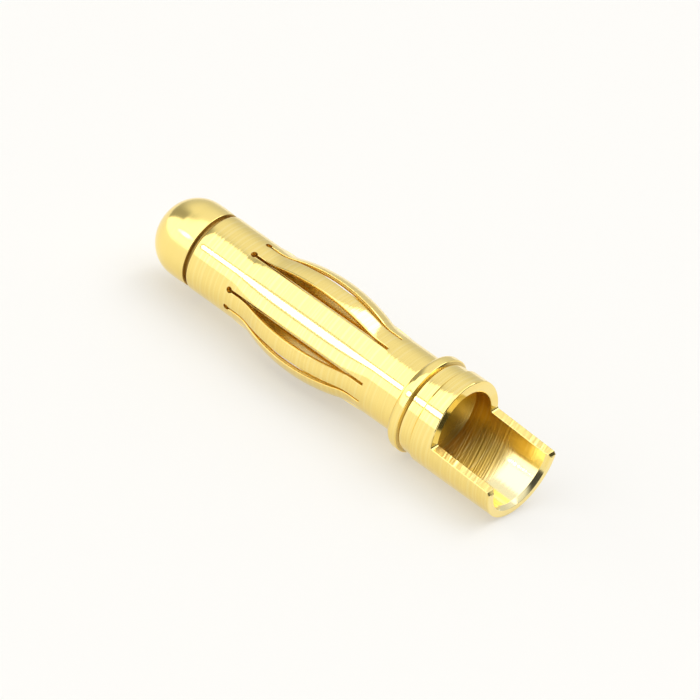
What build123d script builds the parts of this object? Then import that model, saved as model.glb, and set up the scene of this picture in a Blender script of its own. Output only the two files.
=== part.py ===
from build123d import *
import math
import os

# A 4 mm class banana plug with a half-open solder cup, lying on its side.
# Lengths are in millimetres and angles in degrees. While it is made, the plug's axis is X,
# X = 0 is the flange's front face, +X runs towards the cup's mouth and the cup opens upwards.

# Contact sleeve: a thin tube with a closed band at each end
barrel_diameter = 3.5
sleeve_wall = 0.18
front_band = 2.13
slotted_length = 7.38
rear_band = 1.77
sleeve_edge_round = 0.10

# Slots: wide straight strips with a pair of narrow bulged ribs between each two
strip_count = 3
slot_width = 0.12
slot_end_hole = 0.28

# Ribs: flush with the barrel at both ends and bulged outwards in one smooth arch
rib_rise = 0.48
rib_lead = 0.50
rib_end_radius = 2.5

# Nose cap
nose_cylinder = 0.84
nose_flat_diameter = 0.4
nose_edge_round = 0.05
expansion_gap = 0.18
spigot_length = 2.1
slide_clearance = 0.02
cap_bore_depth = 1.8

# Core pin and rear seat of the body
pin_diameter = 2.0
seat_step = 0.12
pin_chamfer = 0.15
seat_chamfer = 0.08

# Flange, groove, neck and collar of the body
body_diameter = 4.26
flange_diameter = 4.34
flange_width = 0.54
flange_round = 0.30
groove_width = 0.09
groove_depth = 0.19
neck_diameter = 4.06
neck_end = 1.20
collar_chamfer = 0.09

# Solder cup
cup_end = 5.43
cup_bore_diameter = 3.34
cup_bore_depth = 3.94
drill_point = 118.0
countersink_width = 0.14
countersink_depth = 0.20
cup_edge_chamfer = 0.04

# Milled opening of the cup
shoulder_at = 2.30
shoulder_lean = 7.0
cut_height = 0.10
cut_slope = 3.0
cut_corner_round = 0.08
lip_chamfer = 0.17

# How the sleeve and the whole plug are turned about the axis
sleeve_turn = 47.0
rest_roll = 8.0

barrel_radius = barrel_diameter / 2
sleeve_bore_radius = barrel_radius - sleeve_wall
sleeve_length = front_band + slotted_length + rear_band
sleeve_front = -sleeve_length
slots_front = sleeve_front + front_band
slots_rear = -rear_band
nose_shoulder = sleeve_front - expansion_gap
pin_radius = pin_diameter / 2
spigot_radius = sleeve_bore_radius - slide_clearance
spigot_end = nose_shoulder + spigot_length
pin_front = spigot_end - cap_bore_depth
body_radius = body_diameter / 2
flange_radius = flange_diameter / 2
neck_radius = neck_diameter / 2
cup_bore_radius = cup_bore_diameter / 2
slot_pitch = 360 / (4 * strip_count)
nose_flat_radius = nose_flat_diameter / 2
nose_corner_radius = barrel_radius - nose_flat_radius


def turned(*outline):
    """Solid of revolution about X from an outline of lines and arcs in x and radius."""
    return revolve(Plane.XZ * make_face(Curve() + list(outline)), Axis.X)


def wedge(half_angle, edge_offset, length):
    """Prism along X whose two sides lie edge_offset outside planes at half_angle from +Z."""
    reach = 3 * barrel_diameter
    apex = -edge_offset / math.sin(math.radians(half_angle))
    side = reach * math.tan(math.radians(half_angle))
    outline = Polyline((0, apex), (side, apex + reach), (-side, apex + reach), close=True)
    return extrude(Plane.YZ * make_face(outline), length)


def rib_path(start, end):
    """Path of a rib: one long arch with a reversed bend at each foot, in the middle of the wall."""
    half_span = (end - start) / 2
    middle_radius = (barrel_radius + sleeve_bore_radius) / 2
    turn = 2 * math.degrees(math.atan(rib_rise / half_span))
    arch_radius = half_span / math.sin(math.radians(turn)) - rib_end_radius
    foot_in = JernArc((start, middle_radius), (1, 0), rib_end_radius, turn)
    arch = JernArc(foot_in @ 1, foot_in % 1, arch_radius, -2 * turn)
    foot_out = JernArc(arch @ 1, arch % 1, rib_end_radius, turn)
    return Plane.XZ * (Curve() + [foot_in, arch, foot_out])


def rib(start, end):
    """One rib above the axis: the tube's own wall between two slots, carried along the path."""
    ring = Circle(barrel_radius) - Circle(sleeve_bore_radius)
    blank = extrude(Plane.YZ * ring, 1) & wedge(slot_pitch / 2, -slot_width / 2, 1)
    section = Pos(start, 0, 0) * blank.faces().sort_by(Axis.X)[0]
    return sweep(section, rib_path(start, end))


def slot(start, end):
    """Cutter of one slot above the axis: a round hole in front, a narrow slit, a round end."""
    hole = Pos(start, 0, barrel_radius) * Cylinder(slot_end_hole / 2, barrel_radius)
    slit = Pos((start + end) / 2, 0, barrel_radius) * Box(end - start, slot_width, barrel_radius)
    rear_end = Pos(end, 0, barrel_radius) * Cylinder(slot_width / 2, barrel_radius)
    return hole + slit + rear_end


def contact_sleeve():
    """Slotted spring tube: windows cut between the wide strips, each filled by a pair of ribs."""
    tube = Cylinder(barrel_radius, sleeve_length, rotation=(0, 90, 0))
    tube = fillet(tube.edges().filter_by(GeomType.CIRCLE).sort_by(Axis.X)[0], sleeve_edge_round)
    tube -= Cylinder(sleeve_bore_radius, sleeve_length, rotation=(0, 90, 0))
    tube = Pos(sleeve_front / 2, 0, 0) * tube

    start = slots_front + slot_end_hole / 2
    end = slots_rear - slot_width / 2
    arch_start = start + rib_lead
    arch_end = end - rib_lead
    one_slot = slot(start, end)
    one_rib = rib(arch_start, arch_end)
    window = Pos(arch_start, 0, 0) * wedge(slot_pitch, slot_width / 2, arch_end - arch_start)
    middles = [sleeve_turn + (4 * strip + 2) * slot_pitch for strip in range(strip_count)]
    for middle in middles:
        tube -= Rot(middle, 0, 0) * window
        for place in (-1, 0, 1):
            tube -= Rot(middle + place * slot_pitch, 0, 0) * one_slot
    ribs = [Rot(m + side * slot_pitch, 0, 0) * one_rib for m in middles for side in (-0.5, 0.5)]
    return tube + ribs


def nose_cap():
    """Domed nose with the spigot that carries the sleeve's front band, bored for the pin."""
    corner_x = nose_shoulder - nose_cylinder
    tip = corner_x - nose_corner_radius
    outline = [
        Polyline((tip, 0), (tip, nose_flat_radius)),
        CenterArc((corner_x, nose_flat_radius), nose_corner_radius, 90, 90),
        Polyline(
            (corner_x, barrel_radius),
            (nose_shoulder - nose_edge_round, barrel_radius),
            (nose_shoulder, barrel_radius - nose_edge_round),
            (nose_shoulder, spigot_radius),
            (spigot_end - seat_chamfer, spigot_radius),
            (spigot_end, spigot_radius - seat_chamfer),
            (spigot_end, pin_radius),
            (pin_front, pin_radius),
            (pin_front, 0),
            (tip, 0),
        ),
    ]
    return turned(*outline)


def body_outline():
    """Outside of the body from the pin's front end to the cup's mouth."""
    seat_front = slots_rear + seat_step
    groove_front = flange_width
    groove_rear = flange_width + groove_width
    groove_radius = flange_radius - groove_depth
    rounding = CenterArc((flange_round, flange_radius - flange_round), flange_round, 90, 90)
    return [
        Polyline(
            (pin_front, 0),
            (pin_front, pin_radius - pin_chamfer),
            (pin_front + pin_chamfer, pin_radius),
            (seat_front, pin_radius),
            (seat_front, sleeve_bore_radius - seat_chamfer),
            (seat_front + seat_chamfer, sleeve_bore_radius),
            (0, sleeve_bore_radius),
            (0, flange_radius - flange_round),
        ),
        rounding,
        Polyline(
            (flange_round, flange_radius),
            (groove_front, flange_radius),
            (groove_rear, groove_radius),
            (groove_rear, neck_radius),
            (neck_end, neck_radius),
            (neck_end + collar_chamfer, body_radius),
            (cup_end - cup_edge_chamfer, body_radius),
            (cup_end, body_radius - cup_edge_chamfer),
            (cup_end, 0),
            (pin_front, 0),
        ),
    ]


def cup_bore():
    """Drilled hole of the cup with its cone at the bottom and the countersunk mouth."""
    bottom = cup_end - cup_bore_depth
    cone = cup_bore_radius / math.tan(math.radians(drill_point / 2))
    mouth_radius = cup_bore_radius + countersink_width
    return turned(
        Polyline(
            (bottom - cone, 0),
            (bottom, cup_bore_radius),
            (cup_end - countersink_depth, cup_bore_radius),
            (cup_end, mouth_radius),
            (cup_end, 0),
            close=True,
        )
    )


def milled_opening():
    """What the mill takes off the cup: open above the lips, with a leaning shoulder."""
    top = body_diameter
    lean = math.tan(math.radians(shoulder_lean))
    past = cup_end + body_diameter
    drop = (past - shoulder_at) * math.tan(math.radians(cut_slope))
    corner = (shoulder_at, cut_height)
    outline = Polyline(
        corner,
        (past, cut_height - drop),
        (past, top),
        (shoulder_at - (top - cut_height) * lean, top),
        close=True,
    )
    side = make_face(outline)
    side = fillet(side.vertices().sort_by(Axis.X)[1], cut_corner_round)
    return extrude(Plane.XZ * side, body_diameter, both=True)


def lip_corners():
    """Prism that bevels the end corner of both lips."""
    lip_height = cut_height - (cup_end - shoulder_at) * math.tan(math.radians(cut_slope))
    outline = Polyline(
        (cup_end - 2 * lip_chamfer, lip_height + lip_chamfer),
        (cup_end + lip_chamfer, lip_height - 2 * lip_chamfer),
        (cup_end + lip_chamfer, lip_height + lip_chamfer),
        close=True,
    )
    return extrude(Plane.XZ * make_face(outline), body_diameter, both=True)


def solder_cup_body():
    """Pin, seat, flange, collar and half-open cup, turned and milled from one bar."""
    return turned(*body_outline()) - cup_bore() - milled_opening() - lip_corners()


def laid_down(piece):
    """Roll a piece about the axis to where the plug rests, centre it and set it on Z = 0."""
    tip = nose_shoulder - nose_cylinder - nose_corner_radius
    middle = (tip + cup_end) / 2
    return Pos(-middle, 0, flange_radius) * Rot(rest_roll, 0, 0) * piece


pieces = {
    "solder_cup_body": solder_cup_body(),
    "contact_sleeve": contact_sleeve(),
    "nose_cap": nose_cap(),
}

os.makedirs("parts", exist_ok=True)
for name, piece in pieces.items():
    export_step(laid_down(piece), f"parts/{name}.step")
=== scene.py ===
import math

import bmesh
import bpy
from mathutils import Matrix, Vector


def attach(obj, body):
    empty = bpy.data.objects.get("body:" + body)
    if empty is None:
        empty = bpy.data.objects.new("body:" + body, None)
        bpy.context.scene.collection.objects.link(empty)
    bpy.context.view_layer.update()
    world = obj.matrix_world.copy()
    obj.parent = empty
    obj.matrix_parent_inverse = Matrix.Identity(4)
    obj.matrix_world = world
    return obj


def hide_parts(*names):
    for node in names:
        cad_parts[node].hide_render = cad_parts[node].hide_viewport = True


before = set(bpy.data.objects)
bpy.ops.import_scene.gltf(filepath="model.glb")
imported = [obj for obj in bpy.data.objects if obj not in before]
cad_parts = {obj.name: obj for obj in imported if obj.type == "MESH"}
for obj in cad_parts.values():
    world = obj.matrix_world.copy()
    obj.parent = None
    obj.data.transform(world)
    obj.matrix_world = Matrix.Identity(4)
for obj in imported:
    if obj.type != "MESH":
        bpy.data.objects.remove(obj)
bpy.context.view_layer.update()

bl_info = {
    "name": "Banana plug with a solder cup",
    "version": (1, 0, 0),
    "blender": (4, 5, 0),
    "location": "3D View > Sidebar > Banana plug",
    "description": "Models a gold-plated banana plug: nose cap, slotted contact sleeve and solder cup",
    "category": "Add Mesh",
}

MM = 0.001
TURN = 2 * math.pi
UP = Vector((0, 0, 1))

# Places nearer to each other than this, in metres, count as one
TINY = 1e-7

# How finely turned pieces are divided: steps round the axis, and along the arcs of an outline
ROUND_STEPS = 256
FINE_ARC = math.radians(3)
COARSE_ARC = math.radians(9)

# A third of the sleeve's turn holds one wide strip, two slot pitches wide, and two ribs of one pitch
STRIPS = 3
SLOT_PITCH = TURN / (4 * STRIPS)

# Marks that the tools leave in the plating: pitch and height in millimetres
TURNING_MARKS = ((0.13, 0.0014), (0.25, 0.002), (0.05, 0.0006))
NOSE_MARKS = (0.12, 0.0008)
DRILL_MARKS = (0.09, 0.022)
MILL_MARKS = (0.20, 0.022)

# Roughness of the finishes, and how much satin adds to it
TURNED_ROUGHNESS = 0.08
NOSE_ROUGHNESS = 0.17
DULL_ROUGHNESS = 0.42
SATIN_RISE = 0.06

# The pale card under the plug, its sides in metres
CARD_SIZE = 4
CARD_ROUGHNESS = 0.55
CARD_WHITE = (1.0, 0.985, 0.94, 1.0)

# The camera's place in metres, its three directions, and its lens and sensor in millimetres
CAMERA_PLACE = (0.08454, -0.14877, 0.10630)
CAMERA_RIGHT = Vector((0.73984, 0.61281, 0.27768))
CAMERA_UP = Vector((-0.52533, 0.26834, 0.80749))
CAMERA_BACK = Vector((0.42032, -0.74328, 0.52045))
CAMERA_LENS = 256.26
CAMERA_SENSOR = 36
CAMERA_CLIP = 0.01

# How many times light may bounce
BOUNCES = 16


def towards(azimuth, elevation):
    """Unit vector for an azimuth from +X and an elevation, in degrees."""
    turned, raised = math.radians(azimuth), math.radians(elevation)
    return Vector(
        (math.cos(raised) * math.cos(turned), math.cos(raised) * math.sin(turned), math.sin(raised))
    )


# The room as the plug sees it. The walls grow paler upwards: an axis, the cosines between which they
# change, and their levels there, where 1 is white. Each patch has one level and covers the directions
# that pass all of its steps: an axis and the cosines at which the patch starts and is full.
WALLS = (UP, 0.25, 0.85, 0.68, 0.93)
SOFTBOX_EDGE = Vector((0.073, 0.836, 0.545)).normalized()
ROOM = (
    ("dark end of the room", 0.08, ((towards(-12, 0), 0.38, 0.52), (UP, 0.78, 0.55))),
    (
        "gap beside the softbox",
        0.38,
        (
            (SOFTBOX_EDGE, -0.01, 0.04),
            (SOFTBOX_EDGE, 0.60, 0.25),
            (UP, 0.95, 0.85),
            (towards(180, 0), 0.25, 0.65),
        ),
    ),
    ("large softbox", 1.7, ((SOFTBOX_EDGE, 0.01, -0.03), (towards(172, 0), 0.0, 0.06))),
    (
        "overhead softbox",
        1.7,
        (
            (towards(153, 0), 0.34, 0.31),
            (towards(153, 0), -0.36, -0.30),
            (towards(63, 0), 0.72, 0.66),
            (UP, 0.3, 0.35),
        ),
    ),
    ("rim of the key lamp", 0.75, ((towards(-118, 27), 0.9885, 0.9910),)),
    ("key lamp", 7.0, ((towards(-118, 27), 0.9960, 0.9978),)),
    (
        "lamp behind",
        3.6,
        (
            (towards(93, 60), 0.930, 0.950),
            (towards(0, 0), -0.17, -0.13),
            (towards(180, 0), -0.13, -0.09),
        ),
    ),
    ("dark patch at the front", 0.06, ((towards(-60.5, 31.4), 0.90, 0.95),)),
)


# Sizes and looks


def length(name, description, default):
    """A length property, given in millimetres and kept in metres."""
    return bpy.props.FloatProperty(
        name=name,
        description=description,
        default=default * MM,
        min=0.0,
        precision=5,
        subtype="DISTANCE",
        unit="LENGTH",
    )


def angle(name, description, default):
    """An angle property, given in degrees and kept in radians."""
    return bpy.props.FloatProperty(
        name=name, description=description, default=math.radians(default), subtype="ANGLE", unit="ROTATION"
    )


def colour(name, description, default):
    """A colour property."""
    return bpy.props.FloatVectorProperty(
        name=name, description=description, default=default, size=3, min=0.0, max=1.0, subtype="COLOR"
    )


class PlugSizes(bpy.types.PropertyGroup):
    """Sizes of the plug that the pieces share."""

    barrel_diameter: length("Barrel diameter", "Outside of the sleeve's bands and of the nose", 3.5)
    body_diameter: length("Body diameter", "Outside of the collar and the cup", 4.26)
    flange_diameter: length("Flange diameter", "Outside of the rounded flange", 4.34)
    sleeve_wall: length("Sleeve wall", "Thickness of the sleeve's sheet", 0.18)
    pin_diameter: length("Pin diameter", "Core pin inside the sleeve", 2.0)
    edge_round: length("Edge round", "Small round on the turned edges", 0.04)
    rest_roll: angle("Rest roll", "How far the plug has rolled about its axis", 8.0)
    axis_shift: length("Axis shift", "Distance from the model's middle to the flange's front face", 4.21)


class NoseSizes(bpy.types.PropertyGroup):
    """Sizes of the nose cap."""

    sleeve_gap: length("Sleeve gap", "Open gap between the cap's shoulder and the sleeve", 0.18)
    side_length: length("Side length", "From the cap's shoulder to the dome", 0.84)
    dome_length: length("Dome length", "From the side to the tip", 1.55)
    dome_round: length("Dome round", "Round between the side and the tip", 1.51)
    crown: length("Crown", "How much the side swells, on the radius", 0.03)
    crown_round: length("Crown round", "Round of the side where it is widest", 5.0)
    widest_at: length("Widest place", "From the cap's shoulder to where the side is widest", 0.44)
    spigot_length: length("Spigot length", "From the cap's shoulder to the spigot's end", 2.1)
    spigot_round: length("Spigot round", "Round of the spigot's end", 0.08)
    clearance: length("Clearance", "Gap between the spigot and the sleeve's front band", 0.02)
    bore_depth: length("Bore depth", "Depth of the blind bore for the core pin", 1.8)


class SleeveSizes(bpy.types.PropertyGroup):
    """Sizes of the contact sleeve."""

    front_band: length("Front band", "Closed length before the slots", 2.13)
    slotted_length: length("Slotted length", "From the slots' front ends to their rear ends", 7.38)
    rear_band: length("Rear band", "Closed length behind the slots", 1.77)
    slot_width: length("Slot width", "Width of each narrow slit", 0.12)
    slot_hole: length("Slot hole", "Diameter of the round hole at a slot's front end", 0.28)
    rib_rise: length("Rib rise", "How far the ribs bulge beyond the barrel", 0.48)
    rib_lead: length("Rib lead", "Flush length at both ends of a rib", 0.50)
    rib_foot: length("Rib foot radius", "Reversed bend at a rib's foot", 2.5)
    front_round: length("Front round", "Round of the sleeve's front edge", 0.10)
    edge_break: length("Edge break", "Small bevel on the slits' edges", 0.022)
    strip_rise: length("Strip rise", "How far the long edges of the flattened strips stand up", 0.088)
    sleeve_turn: angle("Sleeve turn", "How the slots are turned from the cup's opening", 47.0)


class BodySizes(bpy.types.PropertyGroup):
    """Sizes of the body: core pin, rear seat, flange, collar and solder cup."""

    pin_round: length("Pin round", "Round of the core pin's front edge", 0.15)
    seat_step: length("Seat step", "From the slots' rear ends to the rear seat", 0.12)
    seat_round: length("Seat round", "Round of the rear seat's front edge", 0.08)
    flange_width: length("Flange width", "Length of the rounded flange", 0.54)
    flange_round: length("Flange round", "Round of the flange's front corner", 0.30)
    groove_width: length("Groove width", "Width of the sloping groove", 0.09)
    groove_depth: length("Groove depth", "Depth of the sloping groove", 0.19)
    groove_round: length("Groove round", "Round of the neck's front edge, beside the groove", 0.02)
    neck_diameter: length("Neck diameter", "Outside of the neck between flange and collar", 4.06)
    neck_end: length("Neck end", "From the flange's front face to the collar", 1.20)
    collar_slope: length("Collar slope", "Length of the slope from the neck up to the collar", 0.09)
    cup_end: length("Cup end", "From the flange's front face to the cup's mouth", 5.43)
    bore_diameter: length("Bore diameter", "Drilled hole of the cup", 3.34)
    bore_depth: length("Bore depth", "Straight depth of the drilled hole", 3.94)
    drill_point: angle("Drill point", "Full angle of the cone at the bottom of the hole", 118.0)
    mouth_width: length("Mouth width", "How much the countersink widens the mouth, on the radius", 0.14)
    mouth_depth: length("Mouth depth", "Depth of the countersink", 0.20)
    shoulder_at: length("Shoulder", "Where the milled opening starts", 2.30)
    shoulder_lean: angle("Shoulder lean", "How far the milled shoulder leans away from the mouth", 7.0)
    cut_height: length("Cut height", "Height of the milled face above the axis, at the shoulder", 0.10)
    cut_slope: angle("Cut slope", "How steeply the lips fall towards the mouth", 3.0)
    cut_round: length("Cut round", "Round between the milled shoulder and the lips", 0.08)
    lip_bevel: length("Lip bevel", "Bevel of the lips' end corners", 0.11)
    burr_round: length("Burr round", "Small bevel left on the milled edges", 0.032)


class PlugLooks(bpy.types.PropertyGroup):
    """Colours of the plug and its stage, and the room's light."""

    plating: colour("Plating", "Colour of the gold plating", (1.0, 0.785, 0.265))
    # Painted shade: the darker colour laid in the cup's bore and on the sleeve's slit flanks; the darker
    # turning rings take this tone too
    shade_and_dark_rings: colour("Hollow", "Colour of the dull plating inside the cup's bore", (0.74, 0.52, 0.12))
    # Painted shade: the dark colour laid in the gap behind the nose cap, in the groove, at the bore's
    # bottom and inside the sleeve's front rim
    recess_shade: colour("Recess", "Colour of the thin, dark plating in narrow gaps", (0.50, 0.33, 0.09))
    # Painted light: the pale colour laid near the cup's mouth, on the core pin and inside the sleeve; the
    # paler turning rings take this tone too
    glare_and_pale_rings: colour("Glare", "Colour of the pale plating where light is caught", (1.0, 0.91, 0.54))
    floor_glow: bpy.props.FloatProperty(
        name="Floor glow",
        description="Share of plain white in the floor as the camera and the metal see it",
        default=0.42,
        min=0.0,
        max=1.0,
    )
    floor_colour: colour("Floor", "Colour of the pale card that the plug lies on", (0.90, 0.888, 0.862))
    room_level: bpy.props.FloatProperty(
        name="Room level", description="Level of all the light in the room", default=1.0, min=0.0
    )


def sleeve_front(context):
    """Place of the sleeve's front end along the axis, where the flange's front face is 0."""
    sleeve = context.scene.sleeve_sizes
    return -(sleeve.front_band + sleeve.slotted_length + sleeve.rear_band)


def nose_shoulder(context):
    """Place of the nose cap's shoulder along the axis."""
    return sleeve_front(context) - context.scene.nose_sizes.sleeve_gap


def slots_front(context):
    """Place along the axis of the middles of the round holes at the slots' front ends."""
    sleeve = context.scene.sleeve_sizes
    return sleeve_front(context) + sleeve.front_band + sleeve.slot_hole / 2


def half_slit(context):
    """Half of the angle that a slit takes up on the barrel."""
    return context.scene.sleeve_sizes.slot_width / context.scene.plug_sizes.barrel_diameter


# Modelling helpers


def deselect_everything():
    """Leave edit mode and select nothing."""
    if bpy.context.object and bpy.context.object.mode != "OBJECT":
        bpy.ops.object.mode_set(mode="OBJECT")
    bpy.ops.object.select_all(action="DESELECT")


def make_active(piece):
    """Select one object alone."""
    deselect_everything()
    piece.select_set(True)
    bpy.context.view_layer.objects.active = piece


def edit(piece):
    """Open one object alone in edit mode."""
    make_active(piece)
    bpy.ops.object.mode_set(mode="EDIT")


def stop_editing():
    """Leave edit mode."""
    bpy.ops.object.mode_set(mode="OBJECT")


def keep_place_in_mesh():
    """Move the place, turn and scale of the selected objects into their meshes."""
    bpy.ops.object.transform_apply(location=True, rotation=True, scale=True)


def select_in_mesh(piece, kind, chosen):
    """In edit mode, select the vertices, edges or faces for which chosen is true."""
    bpy.ops.mesh.select_mode(type=kind)
    bpy.ops.mesh.select_all(action="DESELECT")
    data = bmesh.from_edit_mesh(piece.data)
    elements = {"VERT": data.verts, "EDGE": data.edges, "FACE": data.faces}[kind]
    for element in elements:
        if chosen(element):
            element.select_set(True)
    data.select_flush_mode()
    bmesh.update_edit_mesh(piece.data)


def weld(gap=TINY):
    """In edit mode, merge vertices nearer to each other than gap and turn all faces outwards."""
    bpy.ops.mesh.select_all(action="SELECT")
    bpy.ops.mesh.remove_doubles(threshold=gap)
    bpy.ops.mesh.normals_make_consistent(inside=False)


def bevel_selected(offset, segments):
    """In edit mode, bevel the selected edges."""
    bpy.ops.mesh.bevel(offset=offset, offset_type="OFFSET", segments=segments, affect="EDGES")


def rounded_outline(corners, step):
    """Outline through the corners (x, radius, round), each round drawn as an arc of small steps."""
    points = []
    for index, (x, radius, rounding) in enumerate(corners):
        here = Vector((x, radius))
        if rounding <= 0 or index in (0, len(corners) - 1):
            points.append(here)
            continue
        back = (Vector(corners[index - 1][:2]) - here).normalized()
        ahead = (Vector(corners[index + 1][:2]) - here).normalized()
        half = back.angle(ahead) / 2
        reach = rounding / math.tan(half)
        centre = here + (back + ahead).normalized() * (rounding / math.sin(half))
        first = here + back * reach - centre
        turn = first.angle_signed(here + ahead * reach - centre)
        count = max(3, math.ceil(abs(turn) / step))
        for number in range(count + 1):
            turned = first.copy()
            turned.rotate(Matrix.Rotation(-turn * number / count, 2))
            points.append(centre + turned)
    return points


def start_chain(name, x, radius):
    """A new object that is one vertex above the axis, left in edit mode."""
    deselect_everything()
    bpy.ops.mesh.primitive_plane_add(size=MM, location=(0, 0, 0))
    piece = bpy.context.object
    piece.name = name
    piece.data.name = name
    bpy.ops.object.mode_set(mode="EDIT")
    bpy.ops.mesh.select_mode(type="VERT")
    bpy.ops.mesh.merge(type="CENTER")
    bpy.ops.transform.translate(value=(x, 0, radius))
    return piece


def extend_chain(start, points):
    """Extrude the selected end vertex through the points."""
    here = Vector(start)
    for point in points:
        step = point - here
        bpy.ops.mesh.extrude_vertices_move(TRANSFORM_OT_translate={"value": (step.x, 0, step.y)})
        here = point


def turned_piece(name, corners, arc_step):
    """A turned solid about X from the corners of its outline."""
    points = rounded_outline(corners, arc_step)
    piece = start_chain(name, *points[0])
    extend_chain(points[0], points[1:])
    bpy.ops.mesh.select_all(action="SELECT")
    bpy.ops.mesh.spin(steps=ROUND_STEPS, angle=TURN, center=(0, 0, 0), axis=(1, 0, 0))
    weld()
    stop_editing()
    return piece


def turn_of(place):
    """Angle of a point about the axis, from straight above it, as a right-hand turn about +X."""
    return math.atan2(-place.y, place.z) % TURN


def joined(pieces):
    """Join objects into the first one, with its place in its mesh."""
    deselect_everything()
    for piece in pieces:
        piece.select_set(True)
    bpy.context.view_layer.objects.active = pieces[0]
    bpy.ops.object.join()
    keep_place_in_mesh()
    return bpy.context.object


def apply_modifier(piece, kind, **settings):
    """Add a modifier with the given settings and apply it."""
    make_active(piece)
    modifier = piece.modifiers.new(kind.title(), kind)
    for name, value in settings.items():
        setattr(modifier, name, value)
    bpy.ops.object.modifier_apply(modifier=modifier.name)


def cut(piece, cutter):
    """Take the cutter's shape out of the piece, and remove the cutter."""
    apply_modifier(piece, "BOOLEAN", operation="DIFFERENCE", object=cutter, solver="EXACT")
    bpy.data.objects.remove(cutter)


def finish_piece(piece, node, material, smooth=35):
    """Lay a piece down as the plug rests, smooth it below an angle in degrees, and hand it over."""
    plug = bpy.context.scene.plug_sizes
    make_active(piece)
    roll = Matrix.Rotation(plug.rest_roll, 4, "X")
    place = Matrix.Translation((plug.axis_shift, 0, plug.flange_diameter / 2))
    piece.matrix_world = place @ roll
    keep_place_in_mesh()
    bpy.ops.object.shade_smooth_by_angle(angle=math.radians(smooth))
    apply_modifier(piece, "WEIGHTED_NORMAL", mode="FACE_AREA_WITH_ANGLE", weight=80, keep_sharp=True)
    piece.data.materials.clear()
    piece.data.materials.append(material)
    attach(piece, "root")
    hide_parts(node)


# Materials


class ShaderNodes:
    """Adds nodes to a material or a world and links them."""

    def __init__(self, owner):
        owner.use_nodes = True
        self.nodes = owner.node_tree.nodes
        self.links = owner.node_tree.links

    def feed(self, socket, value):
        """Link a value or set it."""
        if isinstance(value, bpy.types.NodeSocket):
            self.links.new(value, socket)
        else:
            socket.default_value = value

    def maths(self, operation, *values):
        """Result of a Math node."""
        node = self.nodes.new("ShaderNodeMath")
        node.operation = operation
        for socket, value in zip(node.inputs, values):
            self.feed(socket, value)
        return node.outputs["Value"]

    def vector(self, operation, *values):
        """Result of a Vector Math node: a number for a dot product or a length, else a vector."""
        node = self.nodes.new("ShaderNodeVectorMath")
        node.operation = operation
        for socket, value in zip(node.inputs, values):
            self.feed(socket, value)
        return node.outputs["Value" if operation in ("DOT_PRODUCT", "LENGTH") else "Vector"]

    def ramp(self, value, start, full, least=0.0, most=1.0):
        """Soft step of a value from least at start to most at full, whichever of the two is higher."""
        node = self.nodes.new("ShaderNodeMapRange")
        node.interpolation_type = "SMOOTHSTEP"
        self.feed(node.inputs["Value"], value)
        for name, end in zip(("From Min", "From Max", "To Min", "To Max"), (start, full, least, most)):
            node.inputs[name].default_value = end
        return node.outputs["Result"]

    def all_of(self, share, *others):
        """Share that is full only where all of the shares are: their product."""
        for other in others:
            share = self.maths("MULTIPLY", share, other)
        return share

    def any_of(self, share, *others):
        """Share that is full where any of the shares is: the largest of them."""
        for other in others:
            share = self.maths("MAXIMUM", share, other)
        return share


class SurfaceNodes(ShaderNodes):
    """A new material with its shader and output."""

    def __init__(self, name):
        self.material = bpy.data.materials.new(name)
        super().__init__(self.material)
        self.nodes.clear()
        self.surface = self.nodes.new("ShaderNodeOutputMaterial").inputs["Surface"]
        self.shader = self.nodes.new("ShaderNodeBsdfPrincipled")
        self.feed(self.surface, self.shader.outputs["BSDF"])


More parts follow.
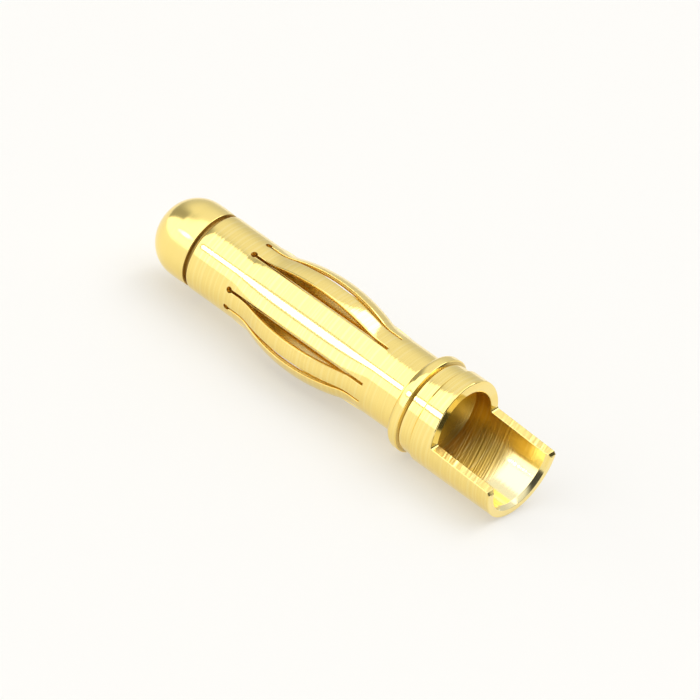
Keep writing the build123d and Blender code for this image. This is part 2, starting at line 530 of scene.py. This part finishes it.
class GoldPlating(SurfaceNodes):
    """Builds one piece's plating: bright where it shows, dull with painted shade in the hollows, with
    painted light in places and with tool marks.
    """

    def __init__(self, name, roughness):
        super().__init__(name)
        plug = bpy.context.scene.plug_sizes
        self.shader.inputs["Metallic"].default_value = 1.0
        self.roughness = roughness
        place = self.nodes.new("ShaderNodeTexCoord").outputs["Object"]
        split = self.nodes.new("ShaderNodeSeparateXYZ")
        self.feed(split.inputs["Vector"], place)
        self.x = self.maths("SUBTRACT", split.outputs["X"], plug.axis_shift)
        self.y = split.outputs["Y"]
        self.normal = self.nodes.new("ShaderNodeNewGeometry").outputs["Normal"]
        from_axis = self.vector("SUBTRACT", place, (0, 0, plug.flange_diameter / 2))
        self.height = self.vector("DOT_PRODUCT", from_axis, UP)
        across = self.vector("MULTIPLY", from_axis, (0, 1, 1))
        self.radius = self.vector("LENGTH", across)
        self.facing = self.vector("DOT_PRODUCT", self.normal, self.vector("NORMALIZE", across))
        self.bump = None
        self.pattern = None

    def inside(self):
        """Share of the faces that look towards the axis."""
        return self.ramp(self.facing, start=-0.3, full=-0.6)

    def marks(self, pitch, height, where=1.0, along=None):
        """Marks of a tool across the axis, with their pitch and height in mm."""
        rings = self.nodes.new("ShaderNodeTexNoise")
        rings.noise_dimensions = "1D"
        rings.inputs["Scale"].default_value = 1.0
        rings.inputs["Detail"].default_value = 1.0
        self.feed(rings.inputs["W"], self.maths("DIVIDE", along or self.x, pitch * MM))
        bump = self.nodes.new("ShaderNodeBump")
        bump.inputs["Distance"].default_value = height * MM
        self.feed(bump.inputs["Strength"], where)
        self.feed(bump.inputs["Height"], rings.outputs["Fac"])
        if self.bump:
            self.feed(bump.inputs["Normal"], self.bump)
        self.bump = bump.outputs["Normal"]
        self.pattern = self.pattern or rings.outputs["Fac"]

    def turning_marks(self):
        """Fine rings of three sizes, as turning leaves them."""
        for pitch, height in TURNING_MARKS:
            self.marks(pitch, height)

    def tinted(self, share, first, second):
        """Blend of two colours."""
        tint = self.nodes.new("ShaderNodeMix")
        tint.data_type = "RGBA"
        ends = [socket for socket in tint.inputs if socket.type == "RGBA"]
        self.feed(tint.inputs["Factor"], share)
        for socket, value in zip(ends, (first, second)):
            self.feed(socket, value)
        return tint.outputs[2]

    def finished(self, shade_and_dark_rings=0.0, recess_shade=0.0, glare_and_pale_rings=0.0, rough=0.0, satin=0.0, rings=0.08):
        """Join colour, roughness and marks in the shader: each share is 1 where it holds in full."""
        looks = bpy.context.scene.plug_looks
        tones = (looks.plating, looks.shade_and_dark_rings, looks.recess_shade, looks.glare_and_pale_rings)
        plain, dull, dark, pale = ((*tone, 1.0) for tone in tones)
        dull_rings = self.maths("MULTIPLY", self.ramp(self.pattern, start=0.42, full=0.62), rings)
        pale_rings = self.maths("MULTIPLY", self.ramp(self.pattern, start=0.48, full=0.36), 2 * rings)
        # The second and third colours lay painted shade and the fourth painted light; the darker and paler
        # rings take the second and fourth as tones
        base = self.tinted(self.any_of(shade_and_dark_rings, dull_rings), plain, dull)
        base = self.tinted(recess_shade, base, dark)
        base = self.tinted(self.any_of(glare_and_pale_rings, pale_rings), base, pale)
        polish = self.maths("MULTIPLY_ADD", satin, SATIN_RISE, self.roughness)
        worn = self.any_of(shade_and_dark_rings, recess_shade, rough)
        roughness = self.maths("MULTIPLY_ADD", worn, DULL_ROUGHNESS - self.roughness, polish)
        self.feed(self.shader.inputs["Base Color"], base)
        self.feed(self.shader.inputs["Roughness"], roughness)
        self.feed(self.shader.inputs["Normal"], self.bump)
        return self.material


# Pieces


class PLUG_OT_nose_cap(bpy.types.Operator):
    """Turn the domed nose cap with the spigot that sits inside the sleeve"""

    bl_idname = "plug.nose_cap"
    bl_label = "Nose cap"

    def outline(self, context):
        """Corners of the turned outline, over the dome, round the spigot and into the blind bore."""
        plug = context.scene.plug_sizes
        nose = context.scene.nose_sizes
        barrel = plug.barrel_diameter / 2
        pin = plug.pin_diameter / 2
        spigot = barrel - plug.sleeve_wall - nose.clearance
        shoulder = nose_shoulder(context)
        tip = shoulder - nose.side_length - nose.dome_length
        spigot_end = shoulder + nose.spigot_length
        bore_end = spigot_end - nose.bore_depth
        return [
            (tip, 0, 0),
            (tip, barrel - nose.crown, nose.dome_round),
            (shoulder - nose.widest_at, barrel, nose.crown_round),
            (shoulder, barrel - nose.crown, plug.edge_round),
            (shoulder, spigot, 0),
            (spigot_end, spigot, nose.spigot_round),
            (spigot_end, pin, 0),
            (bore_end, pin, 0),
            (bore_end, 0, 0),
        ]

    def plating(self, context):
        """Smooth plating with faint rings, and painted shade from the shoulder's face inwards."""
        shoulder = nose_shoulder(context)
        plating = GoldPlating("polished gold", NOSE_ROUGHNESS)
        plating.marks(*NOSE_MARKS)
        # Painted shade in the gap between the cap's shoulder and the sleeve
        hidden = plating.ramp(plating.x, start=shoulder - 0.03 * MM, full=shoulder - 0.005 * MM)
        return plating.finished(recess_shade=hidden, rings=0.02)

    def execute(self, context):
        piece = turned_piece("nose_cap_gold", self.outline(context), FINE_ARC)
        finish_piece(piece, "nose_cap", self.plating(context))
        return {"FINISHED"}


class PLUG_OT_solder_cup_body(bpy.types.Operator):
    """Turn the pin, seat, flange, collar and cup, and mill the cup's opening"""

    bl_idname = "plug.solder_cup_body"
    bl_label = "Solder cup body"

    # Rings of vertices before and behind the milled shoulder, clear of the bevels on its edges
    ring_before = 0.30 * MM
    ring_behind = 0.16 * MM

    def outline(self, context):
        """Corners of the turned outline, round the outside and back through the bore."""
        plug = context.scene.plug_sizes
        nose = context.scene.nose_sizes
        sleeve = context.scene.sleeve_sizes
        body = context.scene.body_sizes
        outside = plug.body_diameter / 2
        seat = plug.barrel_diameter / 2 - plug.sleeve_wall
        pin = plug.pin_diameter / 2
        flange = plug.flange_diameter / 2
        neck = body.neck_diameter / 2
        bore = body.bore_diameter / 2
        fine = plug.edge_round
        pin_front = nose_shoulder(context) + nose.spigot_length - nose.bore_depth
        seat_front = body.seat_step - sleeve.rear_band
        groove_rear = body.flange_width + body.groove_width
        before = body.shoulder_at - self.ring_before
        behind = body.shoulder_at + self.ring_behind
        bottom = body.cup_end - body.bore_depth
        cone = bore / math.tan(body.drill_point / 2)
        return [
            (pin_front, 0, 0),
            (pin_front, pin, body.pin_round),
            (seat_front, pin, 0),
            (seat_front, seat, body.seat_round),
            (0, seat, 0),
            (0, flange, body.flange_round),
            (body.flange_width, flange, fine),
            (groove_rear, flange - body.groove_depth, 0),
            (groove_rear, neck, body.groove_round),
            (body.neck_end, neck, 0),
            (body.neck_end + body.collar_slope, outside, fine),
            (before, outside, 0),
            (behind, outside, 0),
            (body.cup_end, outside, fine),
            (body.cup_end, bore + body.mouth_width, fine / 2),
            (body.cup_end - body.mouth_depth, bore, fine / 2),
            (behind, bore, 0),
            (before, bore, 0),
            (bottom, bore, 0),
            (bottom - cone, 0, 0),
        ]

    def cutter(self, context):
        """Block that is milled out: it leans in front, slopes below and bevels the lips' end corners."""
        body = context.scene.body_sizes
        start, end = body.shoulder_at, body.cup_end - body.lip_bevel
        past = 1.2 * MM
        width = 2 * context.scene.plug_sizes.body_diameter
        low, top = body.cut_height, width / 2
        lean = (top - low) * math.tan(body.shoulder_lean)
        fall = (end - start) * math.tan(body.cut_slope)
        deselect_everything()
        bpy.ops.mesh.primitive_cube_add(size=1, location=(0, 0, 0))
        block = bpy.context.object
        block.name = "milling_block"
        block.dimensions = (end - start, width, top - low)
        block.location = ((start + end) / 2, 0, (top + low) / 2)
        keep_place_in_mesh()
        edit(block)

        # Lean the front back and slope the underside down
        select_in_mesh(block, "VERT", lambda v: v.co.x < start + TINY and v.co.z > top / 2)
        bpy.ops.transform.translate(value=(-lean, 0, 0))
        select_in_mesh(block, "VERT", lambda v: v.co.x > end - TINY and v.co.z < top / 2)
        bpy.ops.transform.translate(value=(0, 0, -fall))

        # Carry the block on past the mouth, falling steeply for the lips' bevel
        select_in_mesh(block, "FACE", lambda f: all(v.co.x > end - TINY for v in f.verts))
        bpy.ops.mesh.extrude_region_move(TRANSFORM_OT_translate={"value": (past, 0, 0)})
        select_in_mesh(block, "VERT", lambda v: v.co.x > end + past / 2 and v.co.z < top / 2)
        bpy.ops.transform.translate(value=(0, 0, -past))

        def inner_corner(edge):
            return all(v.co.x < start + TINY and v.co.z < top / 2 for v in edge.verts)

        select_in_mesh(block, "EDGE", inner_corner)
        bevel_selected(body.cut_round, segments=6)
        weld()
        stop_editing()
        return block

    def break_milled_edges(self, context, piece):
        """Take the sharp edge off the milled faces, which are the ones that never lean to a side."""
        body = context.scene.body_sizes
        lip_height = 0.3 * MM
        opening_front = body.shoulder_at - 0.5 * MM
        shoulder_rear = body.shoulder_at + 0.05 * MM
        sideways, upwards, backwards = 0.01, 0.05, 0.9

        def milled(face):
            place = face.calc_center_median()
            straight = abs(face.normal.y) < sideways
            on_lip = face.normal.z > upwards and abs(place.z) < lip_height
            on_shoulder = face.normal.x > backwards and place.x < shoulder_rear
            return place.x >= opening_front and straight and (on_lip or on_shoulder)

        def milled_edge(edge):
            return len(edge.link_faces) == 2 and milled(edge.link_faces[0]) != milled(edge.link_faces[1])

        edit(piece)
        select_in_mesh(piece, "EDGE", milled_edge)
        bevel_selected(body.burr_round, segments=2)
        stop_editing()

    def plating(self, context):
        """Plating with rings left by turning, a dull bore with drill marks and painted shade, a painted
        highlight at its mouth, and milled lips.
        """
        plug = context.scene.plug_sizes
        body = context.scene.body_sizes
        plating = GoldPlating("turned gold", TURNED_ROUGHNESS)
        x, mouth_at, shoulder_at = plating.x, body.cup_end, body.shoulder_at

        # The bore is dull and has painted shade where it is deep and low, darker painted shade at its
        # bottom and a painted highlight at its mouth
        drilled = plating.inside()
        deep = plating.ramp(x, start=mouth_at - 1.3 * MM, full=mouth_at - 2.1 * MM)
        low = plating.ramp(plating.height, start=-0.2 * MM, full=-1.1 * MM)
        bore = plating.all_of(drilled, deep, plating.maths("MULTIPLY_ADD", low, 0.6, 0.4))
        bottom = plating.ramp(x, start=shoulder_at + 0.3 * MM, full=shoulder_at - 0.8 * MM)
        mouth = plating.all_of(drilled, plating.maths("SUBTRACT", 1.0, deep), low)

        # The core pin, in front of the rear seat, with painted light and a satin finish
        seat_front = body.seat_step - context.scene.sleeve_sizes.rear_band
        pin = plating.ramp(x, start=seat_front - 0.01 * MM, full=seat_front - 0.05 * MM)

        # The groove between the flange and the neck, where its side slopes, with painted shade
        flange, flange_end = plug.flange_diameter / 2, body.flange_width
        past = plating.ramp(x, start=flange_end + 0.01 * MM, full=flange_end + 0.03 * MM)
        before = plating.ramp(x, start=body.neck_end, full=flange_end + body.groove_width)
        under = plating.ramp(plating.radius, start=flange, full=flange - 0.08 * MM)
        sloping = plating.ramp(plating.facing, start=0.95, full=0.8)
        groove = plating.all_of(past, before, under, sloping)

        # The milled lips, and where the mill's marks on them stand clear of the shoulder
        lip_normal = Matrix.Rotation(body.cut_slope, 3, "Y") @ UP
        lip_normal.rotate(Matrix.Rotation(plug.rest_roll, 3, "X"))
        along_lips = plating.vector("DOT_PRODUCT", plating.normal, lip_normal)
        off_radius = plating.ramp(plating.maths("ABSOLUTE", plating.facing), start=0.5, full=0.2)
        lips = plating.all_of(plating.ramp(along_lips, start=0.97, full=0.99), off_radius)
        clear = plating.ramp(x, start=shoulder_at + 0.1 * MM, full=shoulder_at + 0.7 * MM)

        slanted = plating.maths("MULTIPLY_ADD", plating.y, 0.35, x)
        plating.turning_marks()
        plating.marks(*DRILL_MARKS, where=bore, along=slanted)
        plating.marks(*MILL_MARKS, where=plating.all_of(lips, clear), along=slanted)
        # Painted shade in the bore and the groove, a painted highlight at the mouth, painted light on the
        # pin
        return plating.finished(
            shade_and_dark_rings=bore,
            recess_shade=plating.any_of(plating.all_of(bore, bottom, 0.9), plating.all_of(groove, 0.6)),
            glare_and_pale_rings=plating.any_of(plating.all_of(mouth, 0.85), plating.all_of(pin, 0.35)),
            rough=plating.all_of(lips, 0.6),
            satin=plating.any_of(plating.all_of(pin, 0.5), drilled),
        )

    def execute(self, context):
        piece = turned_piece("solder_cup_body_gold", self.outline(context), COARSE_ARC)
        cut(piece, self.cutter(context))
        self.break_milled_edges(context, piece)
        finish_piece(piece, "solder_cup_body", self.plating(context), smooth=20)
        return {"FINISHED"}


class PLUG_OT_contact_sleeve(bpy.types.Operator):
    """Shape one third of the slotted sleeve, copy it round and give it its thickness"""

    bl_idname = "plug.contact_sleeve"
    bl_label = "Contact sleeve"

    # Rings of vertices near the bands' ends, which keep the long faces between them straight
    front_ring = 0.3 * MM
    rear_ring = 0.15 * MM

    def rows(self, context):
        """Places along the axis where the sleeve has a ring of vertices."""
        sleeve = context.scene.sleeve_sizes
        front, start, end = sleeve_front(context), slots_front(context), -sleeve.rear_band
        stretches = [
            (front, 1),
            (front + self.front_ring, 4),
            (start, 3),
            (start + sleeve.rib_lead, 64),
            (end - sleeve.rib_lead, 3),
            (end, 1),
            (end + self.rear_ring, 4),
            (-self.rear_ring, 1),
            (0, 0),
        ]
        places = []
        for (here, count), (ahead, _) in zip(stretches, stretches[1:]):
            places += [here + (ahead - here) * step / count for step in range(count)]
        return places + [0.0]

    def spans(self, context):
        """Angles and steps of one third: half a wide strip, slit, rib, slit, rib, slit, half a strip."""
        slit = half_slit(context)
        strip_steps, slit_steps, rib_steps = 15, 2, 14
        spans = [(0.0, strip_steps)]
        for slot, next_steps in ((1, rib_steps), (2, rib_steps), (3, strip_steps)):
            spans += [(slot * SLOT_PITCH - slit, slit_steps), (slot * SLOT_PITCH + slit, next_steps)]
        return spans + [(4 * SLOT_PITCH, 0)]

    def rib_ends(self, context):
        """Places along the axis where a rib leaves the barrel and comes back to it."""
        sleeve = context.scene.sleeve_sizes
        return slots_front(context) + sleeve.rib_lead, -sleeve.rear_band - sleeve.rib_lead

    def rib_height(self, context, x):
        """How far the outside of a rib stands above the barrel at x."""
        sleeve = context.scene.sleeve_sizes
        half_wall = context.scene.plug_sizes.sleeve_wall / 2
        first, last = self.rib_ends(context)
        middle, half_span = (first + last) / 2, (last - first) / 2
        turn = 2 * math.atan(sleeve.rib_rise / half_span)
        arch = half_span / math.sin(turn) - sleeve.rib_foot
        along = half_span - abs(x - middle)
        foot = sleeve.rib_foot - half_wall
        if along < foot * math.sin(turn):
            return foot - math.sqrt(foot**2 - along**2)
        outside = arch + half_wall
        return sleeve.rib_rise - arch - half_wall + math.sqrt(outside**2 - (x - middle) ** 2)

    def third(self, context):
        """One third of the sleeve's outside, with its slits open and its ribs raised."""
        barrel = context.scene.plug_sizes.barrel_diameter / 2
        rows, spans, slit = self.rows(context), self.spans(context), half_slit(context)
        start, end = slots_front(context), -context.scene.sleeve_sizes.rear_band
        first, last = self.rib_ends(context)
        piece = start_chain("contact_sleeve_gold", rows[0], barrel)
        extend_chain((rows[0], barrel), [Vector((x, barrel)) for x in rows[1:]])
        bpy.ops.mesh.select_all(action="SELECT")
        for (here, count), (ahead, _) in zip(spans, spans[1:]):
            bpy.ops.mesh.spin(steps=count, angle=ahead - here, center=(0, 0, 0), axis=(-1, 0, 0))
        weld()

        def in_slit(face):
            place = face.calc_center_median()
            turn = turn_of(place)
            off = abs((turn + SLOT_PITCH / 2) % SLOT_PITCH - SLOT_PITCH / 2)
            inside = start < place.x < end and off < slit
            return inside and SLOT_PITCH / 2 < turn < 3.5 * SLOT_PITCH

        select_in_mesh(piece, "FACE", in_slit)
        bpy.ops.mesh.delete(type="FACE")
        for rib in (1.5 * SLOT_PITCH, 2.5 * SLOT_PITCH):
            away = Matrix.Rotation(rib, 3, "X") @ UP
            for x in rows:
                if not first < x < last:
                    continue
                select_in_mesh(
                    piece,
                    "VERT",
                    lambda v: abs(v.co.x - x) < TINY and abs(turn_of(v.co) - rib) < SLOT_PITCH / 2,
                )
                bpy.ops.transform.translate(value=away * self.rib_height(context, x))
        stop_editing()
        return piece

    def flatten_strips(self, context, piece):
        """Turn each wide strip to the top and flatten it across, most at the middle of its length."""
        sleeve = context.scene.sleeve_sizes
        barrel = context.scene.plug_sizes.barrel_diameter / 2
        start, end = slots_front(context), -sleeve.rear_band
        edge = SLOT_PITCH - half_slit(context)
        drop = barrel * (1 - math.cos(edge))
        past_edge = edge + 1e-3
        edit(piece)
        for strip in range(STRIPS):
            for x in self.rows(context):
                if not start < x < end:
                    continue
                along = 2 * (x - start) / (end - start) - 1
                select_in_mesh(
                    piece,
                    "VERT",
                    lambda v: abs(v.co.x - x) < TINY and abs(math.atan2(v.co.y, v.co.z)) < past_edge,
                )
                keep = 1 - sleeve.strip_rise * (1 - along**4) / drop
                bpy.ops.transform.resize(value=(1, 1, keep), center_override=(x, 0, barrel))
            bpy.ops.mesh.select_all(action="SELECT")
            bpy.ops.transform.rotate(
                value=TURN / STRIPS, orient_axis="X", orient_type="GLOBAL", center_override=(0, 0, 0)
            )
        stop_editing()

    def tube(self, context):
        """The whole sleeve: its thirds joined, flattened, turned about the axis and given a wall."""
        third = self.third(context)
        thirds = [third]
        for number in range(1, STRIPS):
            make_active(third)
            bpy.ops.object.duplicate()
            bpy.context.object.matrix_world = Matrix.Rotation(number * TURN / STRIPS, 4, "X")
            thirds.append(bpy.context.object)
        piece = joined(thirds)
        self.flatten_strips(context, piece)
        piece.matrix_world = Matrix.Rotation(context.scene.sleeve_sizes.sleeve_turn, 4, "X")
        keep_place_in_mesh()
        seam_gap = 10 * TINY
        edit(piece)
        weld(seam_gap)
        stop_editing()
        wall = context.scene.plug_sizes.sleeve_wall
        apply_modifier(piece, "SOLIDIFY", thickness=wall, offset=-1.0, use_even_offset=True)
        return piece

    def round_edges(self, context, piece):
        """Round the front end's outer edge, and break all edges that are still sharp."""
        plug = context.scene.plug_sizes
        sleeve = context.scene.sleeve_sizes
        middle_of_wall = (plug.barrel_diameter - plug.sleeve_wall) / 2
        edit(piece)
        front = min(v.co.x for v in bmesh.from_edit_mesh(piece.data).verts)

        def front_rim(edge):
            return all(
                v.co.x < front + TINY and math.hypot(v.co.y, v.co.z) > middle_of_wall for v in edge.verts
            )

        select_in_mesh(piece, "EDGE", front_rim)
        bevel_selected(sleeve.front_round, segments=6)
        stop_editing()
        sharp = math.radians(50)
        apply_modifier(
            piece, "BEVEL", width=sleeve.edge_break, segments=2, limit_method="ANGLE", angle_limit=sharp
        )

    def hole_drills(self, context):
        """Nine thin cylinders that cut the round holes at the slits' front ends."""
        plug = context.scene.plug_sizes
        sleeve = context.scene.sleeve_sizes
        place = Matrix.Translation((slots_front(context), 0, plug.barrel_diameter / 2))
        drills = []
        for number in range(4 * STRIPS):
            if number % 4 == 0:
                continue
            deselect_everything()
            bpy.ops.mesh.primitive_cylinder_add(vertices=32, radius=sleeve.slot_hole / 2, depth=MM)
            drill = bpy.context.object
            turn = Matrix.Rotation(sleeve.sleeve_turn + number * SLOT_PITCH, 4, "X")
            drill.matrix_world = turn @ place
            drills.append(drill)
        return joined(drills)

    def plating(self, context):
        """Turned plating, with painted light inside the sleeve, painted shade and dullness on the slits'
        flanks, and painted shade inside the front rim.
        """
        front = sleeve_front(context)
        plating = GoldPlating("sleeve gold", TURNED_ROUGHNESS)
        plating.turning_marks()
        inside = plating.inside()
        # Painted shade on the slits' flanks, and darker painted shade inside the front rim
        flank = plating.ramp(plating.maths("ABSOLUTE", plating.facing), start=0.3, full=0.1)
        recess_shade = plating.all_of(inside, plating.ramp(plating.x, start=front + 0.05 * MM, full=front))
        # Painted light on the rest of the inside
        return plating.finished(
            shade_and_dark_rings=plating.all_of(flank, 0.5),
            recess_shade=recess_shade,
            glare_and_pale_rings=plating.all_of(plating.maths("SUBTRACT", inside, recess_shade), 0.6),
            rough=plating.all_of(inside, 0.5),
        )

    def execute(self, context):
        piece = self.tube(context)
        self.round_edges(context, piece)
        cut(piece, self.hole_drills(context))
        finish_piece(piece, "contact_sleeve", self.plating(context))
        return {"FINISHED"}


class PLUG_OT_studio(bpy.types.Operator):
    """Add the pale floor, the soft light of the room and the camera"""

    bl_idname = "plug.studio"
    bl_label = "Studio"

    def floor(self, looks):
        """Pale card under the plug, lifted towards white where the camera and the metal see it."""
        deselect_everything()
        bpy.ops.mesh.primitive_plane_add(size=CARD_SIZE, location=(0, 0, 0))
        floor = bpy.context.object
        floor.name = "floor"
        card = SurfaceNodes("white card floor")
        card.shader.inputs["Base Color"].default_value = (*looks.floor_colour, 1)
        card.shader.inputs["Roughness"].default_value = CARD_ROUGHNESS
        white = card.nodes.new("ShaderNodeEmission")
        white.inputs["Color"].default_value = CARD_WHITE
        ray = card.nodes.new("ShaderNodeLightPath").outputs
        seen = card.any_of(ray["Is Camera Ray"], ray["Is Glossy Ray"])
        blend = card.nodes.new("ShaderNodeMixShader")
        card.feed(blend.inputs["Fac"], card.maths("MULTIPLY", seen, looks.floor_glow))
        card.feed(blend.inputs[1], card.shader.outputs["BSDF"])
        card.feed(blend.inputs[2], white.outputs["Emission"])
        card.feed(card.surface, blend.outputs["Shader"])
        floor.data.materials.append(card.material)
        return floor

    def room(self, level):
        """World whose light is laid out by direction, as walls, a dark end and softboxes."""
        world = bpy.data.worlds.new("pale room")
        light = ShaderNodes(world)
        direction = light.nodes.new("ShaderNodeTexCoord").outputs["Generated"]

        def step(axis, start, full, least=0.0, most=1.0):
            """Soft step between two cosines to an axis."""
            return light.ramp(light.vector("DOT_PRODUCT", direction, axis), start, full, least, most)

        shade = step(*WALLS)
        for name, strength, steps in ROOM:
            patch = light.nodes.new("ShaderNodeMix")
            patch.label = name
            light.feed(patch.inputs["Factor"], light.all_of(*(step(*one) for one in steps)))
            light.feed(patch.inputs["A"], shade)
            light.feed(patch.inputs["B"], strength)
            shade = patch.outputs["Result"]
        background = light.nodes["Background"]
        background.inputs["Strength"].default_value = level
        light.feed(background.inputs["Color"], shade)
        return world

    def camera(self):
        """Camera with a long lens, at the angle from which the plug is shown."""
        lens = bpy.data.cameras.new("camera")
        lens.sensor_width = CAMERA_SENSOR
        lens.lens = CAMERA_LENS
        lens.clip_start = CAMERA_CLIP
        camera = bpy.data.objects.new("camera", lens)
        turn = Matrix((CAMERA_RIGHT, CAMERA_UP, CAMERA_BACK)).transposed().to_4x4()
        camera.matrix_world = Matrix.Translation(CAMERA_PLACE) @ turn
        return camera

    def execute(self, context):
        looks = context.scene.plug_looks
        floor = self.floor(looks)
        context.scene.world = self.room(looks.room_level)
        camera = self.camera()
        context.scene.collection.objects.link(camera)
        context.scene.camera = camera
        return {"FINISHED"}


class PLUG_PT_panel(bpy.types.Panel):
    """Lists the plug's pieces in the sidebar"""

    bl_idname = "PLUG_PT_panel"
    bl_label = "Banana plug"
    bl_space_type = "VIEW_3D"
    bl_region_type = "UI"
    bl_category = "Banana plug"

    def draw(self, context):
        for operator in OPERATORS:
            self.layout.operator(operator.bl_idname)


OPERATORS = (
    PLUG_OT_nose_cap,
    PLUG_OT_solder_cup_body,
    PLUG_OT_contact_sleeve,
    PLUG_OT_studio,
)
GROUPS = {
    "plug_sizes": PlugSizes,
    "nose_sizes": NoseSizes,
    "sleeve_sizes": SleeveSizes,
    "body_sizes": BodySizes,
    "plug_looks": PlugLooks,
}


def register():
    """Register the sizes, the operators and the panel."""
    for group in GROUPS.values():
        bpy.utils.register_class(group)
    for operator in OPERATORS:
        bpy.utils.register_class(operator)
    bpy.utils.register_class(PLUG_PT_panel)
    for name, group in GROUPS.items():
        setattr(bpy.types.Scene, name, bpy.props.PointerProperty(type=group))


def unregister():
    """Take back all that register added, in the reverse order."""
    for name in GROUPS:
        delattr(bpy.types.Scene, name)
    bpy.utils.unregister_class(PLUG_PT_panel)
    for operator in reversed(OPERATORS):
        bpy.utils.unregister_class(operator)
    for group in reversed(list(GROUPS.values())):
        bpy.utils.unregister_class(group)


def main():
    """Build the plug and its studio, and set how the scene is rendered."""
    register()
    bpy.ops.plug.nose_cap()
    bpy.ops.plug.solder_cup_body()
    bpy.ops.plug.contact_sleeve()
    bpy.ops.plug.studio()
    bpy.context.scene.view_settings.view_transform = "Standard"
    bpy.context.scene.cycles.max_bounces = BOUNCES
    bpy.context.scene.cycles.glossy_bounces = BOUNCES


if __name__ == "__main__":
    main()
